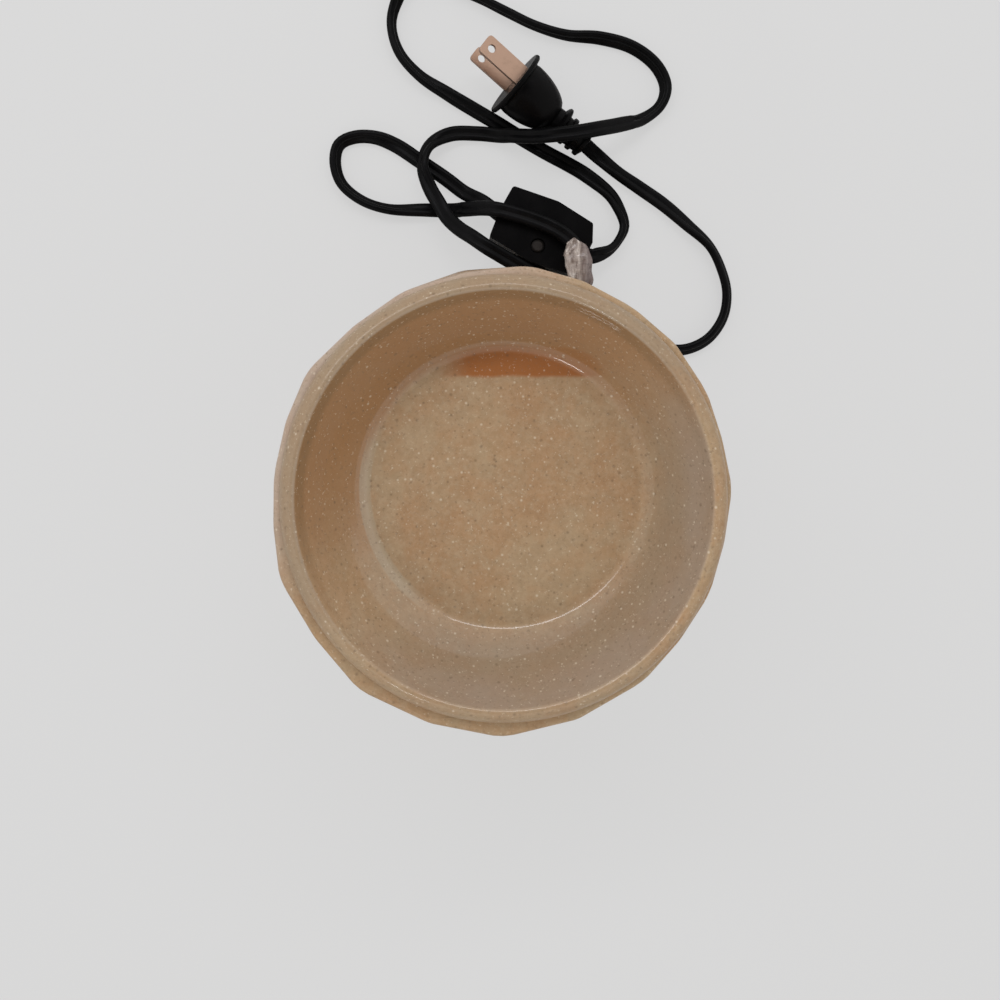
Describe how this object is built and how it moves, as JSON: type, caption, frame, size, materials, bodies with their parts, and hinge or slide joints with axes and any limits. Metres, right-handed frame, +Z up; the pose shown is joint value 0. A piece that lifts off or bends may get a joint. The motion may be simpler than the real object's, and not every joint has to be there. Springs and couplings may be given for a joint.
{
  "type": "electric wax warmer",
  "caption": "Faceted ceramic pot with a lift-off wax dish, a twist-in reflector bulb that warms it from below, and a flat black lead with an in-line thumbwheel switch and a blade plug.",
  "frame": {"origin": "on the pot's axis, on the surface that its feet stand on", "axes": "+Z up; +Y towards the back of the pot, where the lead comes out; +X to the right as seen from the front"},
  "size_m": [0.1668, 0.3541, 0.1251],
  "materials": {
    "glazed_ceramic": "beige-brown glaze with fine specks",
    "black_plastic": "moulded, satin",
    "black_lead": "extruded, soft sheen",
    "rubber": "matt",
    "brass": "rolled and stamped",
    "steel": "zinc plated",
    "steatite": "fired, unglazed",
    "glass": "clear",
    "reflector": "metallised glass",
    "wrapper": "thin, crinkled, milky",
    "nylon": "natural"
  },
  "bodies": {
    "warmer_body": {"base_plate": "black_plastic", "base_screw_back": "steel", "base_screw_left": "steel", "base_screw_right": "steel", "body_shell": "glazed_ceramic", "bracket_nut_left": "steel", "bracket_nut_right": "steel", "bracket_screw_left": "steel", "bracket_screw_right": "steel", "clamp_screw_left": "steel", "clamp_screw_right": "steel", "cord_bushing": "rubber", "cord_clamp": "black_plastic", "cord_to_plug": "black_lead", "cord_to_switch": "black_lead", "cord_wrap": "wrapper", "foot_front": "rubber", "foot_left": "rubber", "foot_right": "rubber", "holder_contact_left": "brass", "holder_contact_right": "brass", "holder_screw_left": "steel", "holder_screw_right": "steel", "lamp_bracket": "steel", "lampholder": "steatite", "lead_line": "black_lead", "lead_neutral": "black_lead", "plug_blade_lower": "brass", "plug_blade_upper": "brass", "plug_body": "black_plastic", "screw_anchor_back": "nylon", "screw_anchor_left": "nylon", "screw_anchor_right": "nylon", "switch_contact_fixed": "brass", "switch_contact_sprung": "brass", "switch_lower": "black_plastic", "switch_nut": "steel", "switch_screw": "steel", "switch_upper": "black_plastic"},
    "wax_dish": {"dish": "glazed_ceramic"},
    "bulb": {"bulb_base": "steatite", "bulb_capsule": "glass", "bulb_lens": "glass", "bulb_pin_left": "steel", "bulb_pin_right": "steel", "bulb_reflector": "reflector"},
    "thumbwheel": {"switch_wheel": "black_plastic"}
  },
  "joints": [
    {"name": "dish_lift", "type": "slide", "parent": "warmer_body", "child": "wax_dish", "axis": [0, 0, 1], "range_m": [0, 0.05]},
    {"name": "bulb_turn", "type": "hinge", "parent": "warmer_body", "child": "bulb", "pos_m": [0, 0, 0.035], "axis": [0, 0, 1], "range_deg": [0, 30]},
    {"name": "wheel_turn", "type": "hinge", "parent": "warmer_body", "child": "thumbwheel", "pos_m": [0.0183, 0.08878, 0.0077], "axis": [0, 0, 1], "continuous": true}
  ]
}
